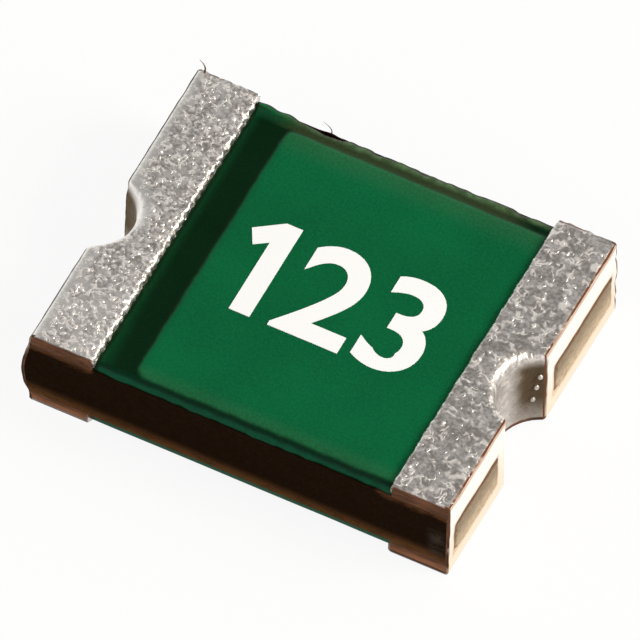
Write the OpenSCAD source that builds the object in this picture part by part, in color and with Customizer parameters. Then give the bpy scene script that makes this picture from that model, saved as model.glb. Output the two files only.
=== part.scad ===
// Surface-mount resettable fuse, a flat chip with a terminal at each end.
// A sheet of conductive polymer lies between two etched foils. Copper and tin are plated round
// both ends, and each end keeps half of a plated through hole. Solder mask covers the foils
// between the terminals, above and below.
// X runs along the chip, Y from the front long edge to the back one, and Z up.
// The origin is under the middle of the chip, on the plane of its solder pads.

/* [Chip outline] */
// Length over both terminals
chip_l = 3.2; // [2.9:0.05:3.6]
// Width between the sawn long edges
chip_w = 2.53; // [2.2:0.01:3]

/* [Layer thicknesses] */
// Conductive polymer core
core_t = 0.505; // [0.4:0.005:0.8]
// Each electrode foil
foil_t = 0.035; // [0.018:0.001:0.06]
// Copper plated on the pads
pad_copper_t = 0.078; // [0.06:0.002:0.12]
// Copper plated on the end faces and in the half holes
wall_copper_t = 0.012; // [0.008:0.001:0.03]
// Tin over all the copper
tin_t = 0.012; // [0.008:0.001:0.02]

/* [Terminals] */
// Clear distance between the two terminals
pad_gap = 2.25; // [2:0.05:2.4]
// Shift of the pads along the chip, left by the saw
pad_shift = 0.02; // [-0.1:0.01:0.1]
// Radius on the copper's edges
copper_edge_r = 0.03; // [0.01:0.005:0.04]

/* [Half holes] */
// Finished diameter of the plated hole at each end
hole_d = 0.66; // [0.5:0.02:0.8]
// Width that the saw takes out of the middle of each hole
saw_kerf = 0.25; // [0:0.01:0.4]
// Distance of the holes from the chip's middle line, toward the front
hole_offset = 0.105; // [-0.2:0.005:0.2]
// Radius that the plating leaves on a hole's upper and lower rim
hole_rim_r = 0.042; // [0.03:0.002:0.06]

/* [End windows] */
// Metal left above each window of bare core
window_top_band = 0.275; // [0.16:0.005:0.35]
// Metal left below each window
window_bottom_band = 0.15; // [0.13:0.005:0.25]
// Metal left between a window and the long edge
window_side_band = 0.08; // [0.03:0.005:0.2]
// Metal left between a window and the half hole
window_hole_band = 0.12; // [0.05:0.005:0.25]
// Radius of a window's corners
window_r = 0.03; // [0.01:0.005:0.06]

/* [Electrode foils] */
// Margin from the sawn long edges to the electrode, when it lies in the middle
foil_margin = 0.105; // [0.08:0.005:0.3]
// Distance of the electrodes from the chip's middle line, toward the front
foil_offset = 0.04; // [-0.05:0.005:0.05]
// Etched gap between the electrode and the far terminal
foil_gap = 0.28; // [0.15:0.01:0.5]

/* [Solder mask] */
// Mask over the foil
mask_t = 0.045; // [0.03:0.005:0.055]
// How far the mask's surface sinks where no foil lies below it
mask_dip = 0.02; // [0:0.005:0.03]

/* [Hidden] */
$fn = 96;

LEFT = -1;
RIGHT = 1;
TOP = 1;
BOTTOM = -1;

// Heights of the layers above the solder plane
core_bottom = tin_t + pad_copper_t + foil_t;
core_top = core_bottom + core_t;
chip_h = 2 * core_bottom + core_t;

// The core stops short of the ends by the plating on them
core_l = chip_l - 2 * (wall_copper_t + tin_t);

// The saw takes half its kerf from each side of a hole's centre
hole_x = chip_l / 2 + saw_kerf / 2;
hole_y = -hole_offset;
hole_r = hole_d / 2;
drill_r = hole_r + tin_t + wall_copper_t;
hole_half_chord = sqrt(pow(hole_r, 2) - pow(saw_kerf / 2, 2));

edge_r = min(copper_edge_r, pad_copper_t / 2);

// A cutter that is wider than the chip
cutter_w = chip_w + 2 * tin_t;

// The electrode's field, and the mask's thickness above the core over it and beside it
field_w = chip_w - 2 * foil_margin;
coat_t = foil_t + mask_t;
low_coat_t = coat_t - mask_dip;

// Distance from the middle of the chip to a terminal's inner edge, over the tin and at the copper
function tin_edge(end) = pad_gap / 2 + end * pad_shift;
function copper_edge(end) = tin_edge(end) + tin_t;

// Where the electrode that joins this end starts, past the gap at the other end
function field_start(end) = foil_gap - tin_edge(-end);

// Draws for the right-hand end, and mirrors it for the left-hand one
module at_end(end) {
    mirror([end == LEFT ? 1 : 0, 0, 0]) children();
}

// Sets Z = 0 on the core's upper or lower face, with Z pointing away from the core
module on_face(face) {
    translate([0, 0, face == TOP ? core_top : core_bottom])
        mirror([0, 0, face == BOTTOM ? 1 : 0]) children();
}

// Cylinder on the axis of a half hole, taller than the chip
module hole_axis(r) {
    translate([hole_x, hole_y, -tin_t]) cylinder(r = r, h = chip_h + 2 * tin_t);
}

// Space inside a half hole's plating with a round rim at both faces, a depth below the finished surface
module hole_space(depth) {
    r = hole_r + depth;
    rim_r = hole_rim_r - depth;
    hole_axis(r);
    for (face = [TOP, BOTTOM])
        translate([hole_x, hole_y, face == TOP ? chip_h - depth : depth])
            mirror([0, 0, face == BOTTOM ? 1 : 0])
                rotate_extrude()
                    difference() {
                        translate([0, -rim_r]) square([r + rim_r, rim_r + tin_t]);
                        translate([r + rim_r, -rim_r]) circle(rim_r);
                    }
}

// Box across the whole width of the chip, or another width, standing on z0
module slab(x0, x1, z0, z1, width = chip_w, y = 0) {
    translate([x0, y - width / 2, z0]) cube([x1 - x0, width, z1 - z0]);
}

// Box across the width of the electrode's field, standing on z0
module field_slab(x0, x1, z0, z1) {
    slab(x0, x1, z0, z1, field_w, -foil_offset);
}

// Rectangle with round corners
module round_rectangle(x0, x1, y0, y1, r) {
    translate([x0 + r, y0]) square([x1 - x0 - 2 * r, y1 - y0]);
    translate([x0, y0 + r]) square([x1 - x0, y1 - y0 - 2 * r]);
    for (x = [x0 + r, x1 - r], y = [y0 + r, y1 - r])
        translate([x, y]) circle(r);
}

// Block that a terminal is made from, with its surface lying a depth inside the finished one
module terminal_block(end, depth) {
    rotate([90, 0, 0])
        linear_extrude(chip_w, center = true)
            round_rectangle(tin_edge(end) + depth, chip_l / 2 - depth, depth, chip_h - depth,
                edge_r + tin_t - depth);
}

// Cutter for one window in an end face, between two places across the chip
module window_cutter(y0, y1) {
    cut_x = core_l / 2 - wall_copper_t;
    translate([cut_x, 0, 0])
        rotate([90, 0, 90])
            linear_extrude(chip_l / 2 + tin_t - cut_x)
                round_rectangle(y0, y1, window_bottom_band, chip_h - window_top_band, window_r);
}

// Both windows of an end, one on each side of the half hole
module end_windows() {
    inner = hole_half_chord + window_hole_band;
    outer = chip_w / 2 - window_side_band;
    window_cutter(-outer, hole_y - inner);
    window_cutter(hole_y + inner, outer);
}

// Copper of one terminal: two pads, the end face and the plating of the half hole
module terminal_copper(end) {
    at_end(end)
        difference() {
            terminal_block(end, tin_t);
            difference() {
                slab(0, core_l / 2, core_bottom - foil_t, core_top + foil_t, cutter_w);
                hole_axis(drill_r);
            }
            hole_space(tin_t);
            end_windows();
        }
}

// Tin over that copper, with a lip at the inner edge of each pad that comes down to the mask
module terminal_tin(end) {
    at_end(end)
        difference() {
            terminal_block(end, 0);
            difference() {
                terminal_block(end, tin_t);
                hole_space(tin_t);
            }
            slab(0, copper_edge(end) + tin_t, core_bottom - low_coat_t, core_top + low_coat_t, cutter_w);
            hole_space(0);
            end_windows();
        }
}

// Foil under one pad, drilled for the half hole
module pad_foil(end, face) {
    on_face(face)
        at_end(end)
            difference() {
                slab(copper_edge(end), core_l / 2, 0, foil_t);
                hole_axis(drill_r);
            }
}

// Foil that covers one face of the core and joins the terminal at one end
module electrode_foil(end, face) {
    on_face(face)
        at_end(end)
            difference() {
                union() {
                    field_slab(field_start(end), copper_edge(end), 0, foil_t);
                    slab(copper_edge(end), core_l / 2, 0, foil_t);
                }
                hole_axis(drill_r);
            }
}

// Mask over one electrode, rounded off at the long edges and raised where the foil lies below it
module solder_mask(end, face) {
    shoulder_y = chip_w / 2 - low_coat_t;
    on_face(face)
        at_end(end)
            difference() {
                union() {
                    rotate([90, 0, 90])
                        translate([0, 0, -copper_edge(-end)])
                            linear_extrude(copper_edge(-end) + copper_edge(end))
                                intersection() {
                                    translate([-chip_w / 2, 0]) square([chip_w, low_coat_t]);
                                    union() {
                                        translate([-shoulder_y, 0]) square([2 * shoulder_y, low_coat_t]);
                                        for (y = [-shoulder_y, shoulder_y])
                                            translate([y, 0]) circle(low_coat_t);
                                    }
                                }
                    field_slab(field_start(end), tin_edge(end), 0, coat_t);
                }
                field_slab(field_start(end), copper_edge(end) + tin_t, -foil_t, foil_t);
            }
}

module ptc_core() {
    color("#20140b")
        difference() {
            slab(-core_l / 2, core_l / 2, core_bottom, core_top);
            for (end = [LEFT, RIGHT])
                at_end(end) hole_axis(drill_r);
        }
}

module top_electrode_foil() {
    color("#b4713f") electrode_foil(RIGHT, TOP);
}

module bottom_electrode_foil() {
    color("#b4713f") electrode_foil(LEFT, BOTTOM);
}

module left_pad_foil() {
    color("#b4713f") pad_foil(LEFT, TOP);
}

module right_pad_foil() {
    color("#b4713f") pad_foil(RIGHT, BOTTOM);
}

module left_terminal_copper() {
    color("#8c5a3a") terminal_copper(LEFT);
}

module right_terminal_copper() {
    color("#8c5a3a") terminal_copper(RIGHT);
}

module left_terminal_tin() {
    color("#b8b4b0") terminal_tin(LEFT);
}

module right_terminal_tin() {
    color("#b8b4b0") terminal_tin(RIGHT);
}

module top_solder_mask() {
    color("#12603a") solder_mask(RIGHT, TOP);
}

module bottom_solder_mask() {
    color("#12603a") solder_mask(LEFT, BOTTOM);
}

ptc_core();
top_electrode_foil();
bottom_electrode_foil();
left_pad_foil();
right_pad_foil();
left_terminal_copper();
right_terminal_copper();
left_terminal_tin();
right_terminal_tin();
top_solder_mask();
bottom_solder_mask();
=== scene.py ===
"""Looks of a surface-mount resettable fuse: tinned half-hole terminals, sawn core and green solder mask."""

import itertools
import math

import bmesh
import bpy
import numpy as np
from mathutils import Matrix, Vector


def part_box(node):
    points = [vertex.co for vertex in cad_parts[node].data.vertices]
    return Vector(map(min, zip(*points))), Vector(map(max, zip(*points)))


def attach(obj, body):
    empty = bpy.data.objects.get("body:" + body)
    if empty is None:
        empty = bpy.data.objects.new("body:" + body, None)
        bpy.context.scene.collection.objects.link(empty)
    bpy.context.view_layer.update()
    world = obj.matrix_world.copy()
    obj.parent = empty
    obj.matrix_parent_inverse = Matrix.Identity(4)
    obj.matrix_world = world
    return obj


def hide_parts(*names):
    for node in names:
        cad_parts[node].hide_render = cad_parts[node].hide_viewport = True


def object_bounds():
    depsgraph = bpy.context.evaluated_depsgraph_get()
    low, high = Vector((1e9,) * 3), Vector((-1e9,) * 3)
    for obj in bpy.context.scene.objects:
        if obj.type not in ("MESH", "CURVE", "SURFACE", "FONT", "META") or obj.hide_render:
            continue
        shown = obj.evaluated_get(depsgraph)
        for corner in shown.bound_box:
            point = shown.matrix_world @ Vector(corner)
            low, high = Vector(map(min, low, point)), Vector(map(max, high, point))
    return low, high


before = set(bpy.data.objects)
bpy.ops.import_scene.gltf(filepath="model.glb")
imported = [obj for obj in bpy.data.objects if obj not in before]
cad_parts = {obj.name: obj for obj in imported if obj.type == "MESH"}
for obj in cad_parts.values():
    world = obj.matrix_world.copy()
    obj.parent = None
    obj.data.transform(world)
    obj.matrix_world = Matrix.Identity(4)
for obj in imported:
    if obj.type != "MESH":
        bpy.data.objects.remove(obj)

bl_info = {
    "name": "Resettable Fuse Chip",
    "version": (1, 0, 0),
    "blender": (4, 5, 0),
    "location": "View3D > Sidebar > Fuse Chip",
    "description": "Builds the finished surfaces of a surface-mount resettable fuse",
    "category": "Object",
}

# The frame is in metres, and the pieces are modelled in millimetres and then brought to metres
MM = 0.001
# Places that differ by less than this many millimetres count as one
TOUCH = 0.001
BODY = "root"
CAD_BOX = [list(corner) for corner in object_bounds()]


def node_box(name):
    """Lowest and highest corner of a CAD node, in millimetres."""
    low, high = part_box(name)
    return [[place / MM for place in corner] for corner in (low, high)]


def field_sides():
    """Front and back edge of the upper electrode where it starts, in millimetres."""
    points = [v.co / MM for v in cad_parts["top_electrode_foil"].data.vertices]
    start = min(p.x for p in points)
    across = [p.y for p in points if p.x - start < TOUCH]
    return min(across), max(across)


CORE_LOW, CORE_HIGH = node_box("ptc_core")
FOIL_LOW, FOIL_HIGH = node_box("top_electrode_foil")
COAT_HIGH = node_box("top_solder_mask")[1]
HALF_L, HALF_W, CHIP_H = (corner / MM for corner in CAD_BOX[1])
TIN_EDGE = {-1: -node_box("left_terminal_tin")[1][0], 1: node_box("right_terminal_tin")[0][0]}
TIN_T = HALF_L - node_box("right_terminal_copper")[1][0]
COPPER_EDGE = {end: edge + TIN_T for end, edge in TIN_EDGE.items()}
FOIL_T = FOIL_HIGH[2] - CORE_HIGH[2]
COAT_T = COAT_HIGH[2] - CORE_HIGH[2]
FIELD_START = FOIL_LOW[0]
FIELD_FRONT, FIELD_BACK = field_sides()
END_NAMES = {-1: "left", 1: "right"}
# Where shade is painted brown on the walls of the half holes, in plan
SHADE_X = (1.36, 1.72)
SHADE_Y = (0.05, 0.30)
# Grey smear on the front of the core beside the right end: its span along the chip, and up it
SMEAR_X = (1.46, 1.56)
SMEAR_Z = (0.17, 0.42)
# Span of the back edge that the saw tore, along the chip
TORN_X = (-0.85, 0.1)
# Edges that turn by more than this many degrees stay sharp
SHARP_ANGLE = 55.0
# Height at which the left end is swollen most
SWELL_Z = 0.36
# How far the tin at a window's edge reaches in past the copper
WINDOW_TUCK = 0.004


def length(name, description, millimetres):
    """A length property, given in millimetres and kept in metres."""
    return bpy.props.FloatProperty(name=name, description=description, default=millimetres * MM,
                                   min=0.0, precision=6, unit="LENGTH")


def paint(name, description, colour):
    """A colour property, in linear red, green and blue."""
    return bpy.props.FloatVectorProperty(name=name, description=description, default=colour, size=3,
                                         min=0.0, max=1.0, subtype="COLOR")


class FuseSizes(bpy.types.PropertyGroup):
    """Sizes that shape the finished surfaces."""

    hole_d: length("Hole diameter", "Finished diameter of the plated half holes", 0.66)
    saw_kerf: length("Saw kerf", "Width that the saw took out of the middle of each hole", 0.25)
    hole_offset: length("Hole offset", "Distance of the holes from the middle line, to the front", 0.105)
    window_top: length("Window top band", "Metal above each end window", 0.275)
    window_bottom: length("Window bottom band", "Metal below each end window", 0.15)
    window_side: length("Window side band", "Metal between an end window and the long edge", 0.08)
    window_hole: length("Window hole band", "Metal between an end window and the half hole", 0.12)
    window_r: length("Window corner", "Radius of an end window's corners", 0.03)
    lip_r: length("Tin lip", "Radius on the inner edges of the tin", 0.026)
    edge_r: length("Tin edge", "Radius on the tin's lower edges and the holes' mouths", 0.026)
    left_edge_r: length("Left edge", "Radius on the left terminal's outer top edge", 0.055)
    right_edge_r: length("Right edge", "Radius on the right terminal's outer top edge", 0.026)
    rim_r: length("Hole rim", "Reach of the rounding round the top of the half holes", 0.10)
    back_roll: length("Back roll", "How far the tin falls off along the back edges", 0.007)
    left_roll: length("Left roll", "How far the tin falls off along the left outer edge", 0.010)
    right_roll: length("Right roll", "How far the tin falls off along the right outer edge", 0.0)
    foot_roll: length("Foot roll", "How far the left foot is rolled up at the front edge", 0.035)
    ragged: length("Ragged edge", "How far the back edges of the terminals wander", 0.012)
    worn_w: length("Worn edge", "Half the width of the copper lines on the tin's edges", 0.006)
    swell: length("Swelling", "How far the saw pushed out the front corner of the left end", 0.045)
    mask_dip: length("Mask dip", "How far the mask sinks where no foil lies below it", 0.02)
    mask_soft: length("Mask slope", "Width of the slope where the mask sinks", 0.06)
    mask_inset: length("Mask inset", "How far the mask draws back from the long edges", 0.012)
    mask_torn: length("Torn mask", "How much farther it draws back at the torn back edge", 0.004)
    mask_climb: length("Mask climb", "How far the mask climbs by the left pad at the back", 0.062)
    burr: length("Burr", "Height of the burr on the core where the back edge is torn", 0.029)
    window_slope: length("Window slope", "Distance over which the core comes up in an end window", 0.1)
    window_rough: length("Window roughness", "Height of the bumps on the core in an end window", 0.001)
    tin_lumps: length("Tin lumps", "Height of the slow waves in the tin", 0.004)
    left_lip_lumps: length("Left lip lumps", "Height of lumps on the left pad's inner edge", 0.009)
    right_lip_lumps: length("Right lip lumps", "Height of lumps on the right pad's inner edge", 0.003)
    saw_waves: length("Saw waves", "Depth of the waves that the saw left in the long sides", 0.006)
    net_step: length("Tin mesh", "Spacing of the tin's mesh", 0.015)
    left_grain: length("Left grain", "Radius of the grains in the left terminal's tin", 0.018)
    right_grain: length("Right grain", "Radius of the grains in the right terminal's tin", 0.016)
    bead_r: length("Bead", "Radius of the beads of tin in the right half hole", 0.021)
    digit_h: length("Digit height", "Height of the printed digits", 0.82)
    digit_pitch: length("Digit pitch", "Distance from one printed digit to the next", 0.56)
    stroke_w: length("Stroke width", "Width added to the strokes of the printed digits", 0.03)
    ink_t: length("Ink thickness", "Thickness of the printed ink", 0.004)


class FuseColours(bpy.types.PropertyGroup):
    """Colours of the finished surfaces."""

    # Partly painted highlight: the pale ridges stand for the glints of the frosted tin
    tin: paint("Tin", "Ridges of the frosted tin", (0.96, 0.91, 0.86))
    tin_dull: paint("Dull tin", "Hollows of the frosted tin", (0.42, 0.385, 0.352))
    # Painted shade on the tin below the top faces, most in the half holes
    tin_low_shade: paint("Deep tin", "Tin down in the half holes", (0.52, 0.47, 0.425))
    # Partly painted light: smooth tin painted near white for the strong light on the end faces and rims
    smooth_tin_and_sheen: paint("Tin wall", "Smooth tin on the upright faces", (0.98, 0.95, 0.90))
    # Warmer towards the bottom of the upright faces; also painted on the window sills as painted light
    tin_warm: paint("Warm tin", "Thin tin low on the upright faces", (0.95, 0.80, 0.63))
    # Warm tint just below the outer top edges, and painted shade on the tin round the end windows
    tin_tint_and_shade: paint("Tinted tin", "Thin tin just below the outer top edges", (0.60, 0.355, 0.20))
    tin_worn: paint("Worn tin", "Copper that shows along the tin's edges", (0.125, 0.046, 0.020))
    edge_dark: paint("Dark edge", "Shadowed copper on the left and lower edges", (0.045, 0.022, 0.011))
    # Painted shade on the wall of the right half hole
    tin_shade_right: paint("Stained tin", "Brown film on the tin in the right half hole", (0.078, 0.052, 0.027))
    # Painted shade on the wall of the left half hole
    tin_shade_left: paint("Left stain", "Brown film on the tin in the left half hole", (0.105, 0.064, 0.020))
    copper: paint("Copper", "Sawn copper", (0.29, 0.12, 0.058))
    copper_dull: paint("Dull copper", "Darker streaks of the sawn copper", (0.075, 0.030, 0.012))
    core: paint("Core", "Sawn polymer core on the long sides", (0.0105, 0.0042, 0.0010))
    # Paler brown towards the bottom of the core, and painted shade in the end windows
    core_haze_and_shade: paint("Core haze", "Dust on the lower part of the core", (0.105, 0.045, 0.016))
    core_smear: paint("Core smear", "Grey smear on the front of the core", (0.040, 0.030, 0.022))
    core_end: paint("Core end", "Core in the end windows", (0.25, 0.20, 0.142))
    core_end_pale: paint("Core end sill", "Core along the bottom of the end windows", (0.47, 0.385, 0.275))
    mask: paint("Mask", "Solder mask over foil", (0.0015, 0.117, 0.039))
    mask_pale: paint("Pale mask", "Solder mask along the long edges of the foil", (0.021, 0.122, 0.047))
    mask_gap: paint("Mask in the gap", "Solder mask over the bare core", (0.0004, 0.0160, 0.0035))
    mask_rim: paint("Mask rim", "Solder mask where it runs up to the pads", (0.0020, 0.044, 0.014))
    mask_front: paint("Front mask", "Solder mask along the front edge", (0.0010, 0.022, 0.009))
    mask_front_edge: paint("Front rim", "Solder mask on the rounded front edge", (0.0010, 0.062, 0.026))
    mask_back: paint("Back mask", "Solder mask along the back edge", (0.026, 0.044, 0.016))
    # Painted highlight on the rounded back edge of the mask
    mask_back_highlight: paint("Back rim", "Solder mask on the rounded back edge", (0.085, 0.155, 0.070))
    ink: paint("Ink", "Printed digits", (0.98, 0.99, 1.0))
    ink_thin: paint("Thin ink", "Thinner spots of the printed digits", (0.8, 0.84, 0.8))
    floor: paint("Floor", "Floor under the part", (0.92, 0.92, 0.92))


def sizes():
    """The sizes in millimetres, by name, with the axis and the radii of the half holes."""
    group = bpy.context.scene.fuse_sizes
    size = {name: getattr(group, name) / MM for name in FuseSizes.__annotations__}
    size["hole_x"] = HALF_L + size["saw_kerf"] / 2.0
    size["hole_r"] = size["hole_d"] / 2.0
    size["drill_r"] = size["hole_r"] + (HALF_L - CORE_HIGH[0])
    return size


def colour(name):
    """A colour with its alpha."""
    return (*getattr(bpy.context.scene.fuse_colours, name), 1.0)


# Node trees


class Term:
    """A value in a node tree. Each step of a sum, a product or the like adds a Math node to that tree."""

    def __init__(self, socket):
        self.socket = socket
        self.tree = socket.id_data

    def __add__(self, other):
        return math_node("ADD", self, other)

    def __sub__(self, other):
        return math_node("SUBTRACT", self, other)

    def __rsub__(self, other):
        return math_node("SUBTRACT", other, self)

    def __mul__(self, other):
        return math_node("MULTIPLY", self, other)

    def __truediv__(self, other):
        return math_node("DIVIDE", self, other)

    def __rtruediv__(self, other):
        return math_node("DIVIDE", other, self)

    def __abs__(self):
        return math_node("ABSOLUTE", self)


def set_inputs(node, inputs):
    """Sets a node's inputs to values, or links them from terms."""
    for name, value in inputs.items():
        if isinstance(value, Term):
            node.id_data.links.new(value.socket, node.inputs[name])
        else:
            node.inputs[name].default_value = value


def add_node(tree, kind, inputs=None, **settings):
    """Adds a node with its settings and inputs, and returns its outputs."""
    made = tree.nodes.new(kind)
    for name, value in settings.items():
        setattr(made, name, value)
    set_inputs(made, inputs or {})
    return made.outputs


def term(kind, inputs, output=0, **settings):
    """One output of a node that is added to the tree of its inputs."""
    tree = next(value.tree for value in inputs.values() if isinstance(value, Term))
    return Term(add_node(tree, kind, inputs, **settings)[output])


def source(tree, kind, output=0):
    """One output of a node that needs no inputs."""
    return Term(add_node(tree, kind)[output])


def math_node(operation, *values):
    """Output of a Math node."""
    return term("ShaderNodeMath", dict(enumerate(values)), operation=operation)


def vector_node(operation, *values, output=0):
    """Output of a Vector Math node."""
    return term("ShaderNodeVectorMath", dict(enumerate(values)), output, operation=operation)


def scaled(vector, factor):
    """A vector or colour times a number."""
    return term("ShaderNodeVectorMath", {0: vector, "Scale": factor}, operation="SCALE")


def combined(x, y, z=0.0):
    """A vector from its X, Y and Z."""
    return term("ShaderNodeCombineXYZ", {0: x, 1: y, 2: z})


def axes(vector):
    """The X, Y and Z of a vector."""
    return [Term(part) for part in add_node(vector.tree, "ShaderNodeSeparateXYZ", {0: vector})]


def facing_axes(position):
    """The X, Y and Z of the surface's direction, in the tree of a position."""
    return axes(source(position.tree, "ShaderNodeNewGeometry", "Normal"))


def largest(first, *others):
    """The largest of some values."""
    for other in others:
        first = math_node("MAXIMUM", first, other)
    return first


def ramp(value, low, high, to_low=0.0, to_high=1.0):
    """Runs smoothly from one number to another as a value goes from low to high."""
    limits = {"From Min": low, "From Max": high, "To Min": to_low, "To Max": to_high}
    return term("ShaderNodeMapRange", {"Value": value, **limits}, interpolation_type="SMOOTHSTEP")


def by_end(x, left, right):
    """One number at the left end of the chip and another at its right end."""
    return ramp(x, -0.5, 0.5, left, right)


def mix_colour(factor, first, second):
    """Mix of two colours, each given as a term or by its name."""
    first, second = (colour(tone) if isinstance(tone, str) else tone for tone in (first, second))
    return term("ShaderNodeMix", {0: factor, 6: first, 7: second}, 2, data_type="RGBA")


def noise(position, scale, detail=2.0, roughness=0.5, distortion=0.0):
    """Noise from 0 to 1, with its scale in marks per millimetre."""
    return term("ShaderNodeTexNoise", {"Vector": position, "Scale": scale, "Detail": detail,
                                       "Roughness": roughness, "Distortion": distortion})


def bump(height, strength):
    """Direction of a surface that is bumped by a height given in millimetres."""
    return term("ShaderNodeBump", {"Strength": strength, "Distance": MM, "Height": height})


def new_group(kind, name, inputs, outputs):
    """An empty node group with named sockets, the terms given to it by name, and its output node."""
    tree = bpy.data.node_groups.new(name, kind)
    for way, sockets in (("INPUT", inputs), ("OUTPUT", outputs)):
        for socket, value in sockets.items():
            tree.interface.new_socket(socket, in_out=way, socket_type=f"NodeSocket{value}")
    given = {socket.name: Term(socket) for socket in tree.nodes.new("NodeGroupInput").outputs}
    return tree, given, tree.nodes.new("NodeGroupOutput")


def ridge_group():
    """Short curled ridges, as a height from 0 to 1."""
    tree, given, result = new_group("ShaderNodeTree", "curled_ridges",
                                    {"Position": "Vector", "Ridges per mm": "Float"}, {"Ridge": "Float"})
    position, scale = given["Position"], given["Ridges per mm"]
    curl = noise(position, scale, detail=1.0, distortion=0.7)
    gaps = noise(vector_node("ADD", position, (3.0, 5.0, 7.0)), scale, detail=1.0)
    set_inputs(result, {"Ridge": ramp(abs(curl - 0.5), 0.12, 0.0) * ramp(gaps, 0.43, 0.6)})
    return tree


def streak_group():
    """Marks drawn out along the chip by the saw, as a tone from 0 to 1, with a finer grain beside it."""
    tree, given, result = new_group("ShaderNodeTree", "saw_streaks",
                                    {"Position": "Vector", "Marks per mm": "Float", "Draw": "Float"},
                                    {"Streak": "Float", "Grain": "Float"})
    position, scale = given["Position"], given["Marks per mm"]
    stretched = vector_node("DIVIDE", position, combined(given["Draw"], 1.0, 1.0))
    streak = noise(stretched, scale, detail=3.0, roughness=0.6)
    set_inputs(result, {"Streak": ramp(streak, 0.3, 0.7), "Grain": noise(position, scale * 2.5)})
    return tree


def patch_group():
    """Mask of a rectangle in plan with round corners and soft edges, 1 inside it."""
    names = ("X min", "X max", "Y min", "Y max", "Corner", "Softness")
    tree, given, result = new_group("ShaderNodeTree", "soft_rectangle",
                                    {"Position": "Vector", **dict.fromkeys(names, "Float")},
                                    {"Mask": "Float"})
    depth = [math_node("MINIMUM", place - given[f"{axis} min"], given[f"{axis} max"] - place)
             for axis, place in zip("XY", axes(given["Position"]))]
    inside = math_node("SMOOTH_MIN", *depth, given["Corner"])
    set_inputs(result, {"Mask": ramp(inside / given["Softness"], -1.0, 1.0)})
    return tree


def use_group(name, *values):
    """Outputs of a shared node group, which is built for the first material that asks for it."""
    makers = {"curled_ridges": ridge_group, "saw_streaks": streak_group, "soft_rectangle": patch_group}
    shared = bpy.data.node_groups.get(name) or makers[name]()
    placed = add_node(values[0].tree, "ShaderNodeGroup", dict(enumerate(values)), node_tree=shared)
    return [Term(socket) for socket in placed]


# Materials


def new_material(name):
    """A material with its Principled BSDF, and the place on the part in millimetres."""
    material = bpy.data.materials.new(name)
    material.use_nodes = True
    tree = material.node_tree
    place = source(tree, "ShaderNodeTexCoord", "Object")
    return material, tree.nodes["Principled BSDF"], scaled(place, 1.0 / MM)


def tin_material(name, with_wear_and_painted_light):
    """Frosted tin: pale curled ridges on a duller ground, partly painted highlight, and smoother on the end
    faces, where it is painted whiter as painted light.
    """
    material, shader, position = new_material(name)
    place, facing = axes(position), facing_axes(position)
    x, y, z = place
    along = abs(x)
    end_face = ramp(abs(facing[2]), 0.8, 0.3) * ramp(along, HALF_L - 0.03, HALF_L - 0.008)
    # Partly painted highlight: the ridges are painted pale, standing for the glints of the frosted tin
    ridge = use_group("curled_ridges", position, by_end(x, 20.0, 13.0))[0]
    mottle = noise(position, 36.0)
    cloud = ramp(noise(position, 9.0, detail=3.0), 0.3, 0.7, 0.0, 0.4)
    # Painted reflection: the left pad is painted lighter, most towards the front
    cloud = cloud + by_end(x, ramp(y, -0.9, -0.2, 0.62, 0.38), 0.22)
    cloud = cloud + ramp(mottle, 0.3, 0.7, -1.0, 1.0) * by_end(x, 0.35, 0.26)
    ground = mix_colour(ramp(cloud + ridge * 0.5, 0.0, 1.0), "tin_dull", "tin")
    # Painted shade: the tin below the top faces is painted darker and plainer, also over the hole rims
    ground = mix_colour(ramp(z, CHIP_H - 0.005, CHIP_H - 0.12, 0.0, 0.75), ground, "tin_low_shade")
    # Painted highlight: the smooth rims on the left are painted white
    smooth = smooth_rims_and_sheen(place)
    ground = mix_colour(smooth, ground, "smooth_tin_and_sheen")
    # Painted light: the upright end faces are painted near white, warmer towards the bottom
    wall = mix_colour(ramp(z, 0.65, 0.1), "smooth_tin_and_sheen", "tin_warm")
    base = mix_colour(end_face, ground, wall)
    smoothed = ramp(largest(end_face, smooth), 0.0, 1.0, 1.0, 0.1)
    frost = ridge * smoothed * 0.4
    if with_wear_and_painted_light:
        # Painted shade on the back walls of the half holes, in brown
        hole_shade = painted_hole_shading(position, place)
        base = mix_colour(hole_shade, base, mix_colour(by_end(x, 0.0, 1.0), "tin_shade_left", "tin_shade_right"))
        halo, lines = worn_lines(position, place, facing)
        # Painted shade on the tin round the end windows, in the same tint
        halo = largest(halo, window_edge_shade(place))
        base = mix_colour(halo * end_face, base, "tin_tint_and_shade")
        low_side = ramp(abs(facing[1]), 0.6, 0.9) * ramp(z, 0.5, 0.3)
        # Painted shade: the lines on the left end, low on the long sides and at the very bottom are painted
        # darker
        dark = largest(low_side, ramp(x, 0.5, -0.5), ramp(z, 0.03, 0.015))
        base = mix_colour(lines, base, mix_colour(dark, "tin_worn", "edge_dark"))
        # Painted light: the tin on the window sills is painted warm and pale, and not metallic
        sill = ramp(facing[2], 0.5, 0.8) * ramp(along, HALF_L - 0.05, HALF_L - 0.04) * ramp(z, 0.3, 0.25)
        base = mix_colour(sill, base, "tin_warm")
        frost = largest(hole_shade, lines, sill, frost)
    height = ridge * 0.006 + mottle * 0.004
    set_inputs(shader, {
        "Base Color": base, "Metallic": 1.0 - frost, "Specular IOR Level": 0.05,
        "Roughness": ramp(mottle, 0.25, 0.75, 0.46, 0.34) + end_face * 0.15,
        "Normal": bump(height * smoothed, 0.45)})
    return material


def past_hole(place):
    """Distance in plan from the wall of the nearer half hole, and the place across the chip from its axis."""
    size = sizes()
    across = place[1] + size["hole_offset"]
    from_axis = vector_node("LENGTH", combined(abs(place[0]) - size["hole_x"], across), output="Value")
    return from_axis - size["hole_r"], across


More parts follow.
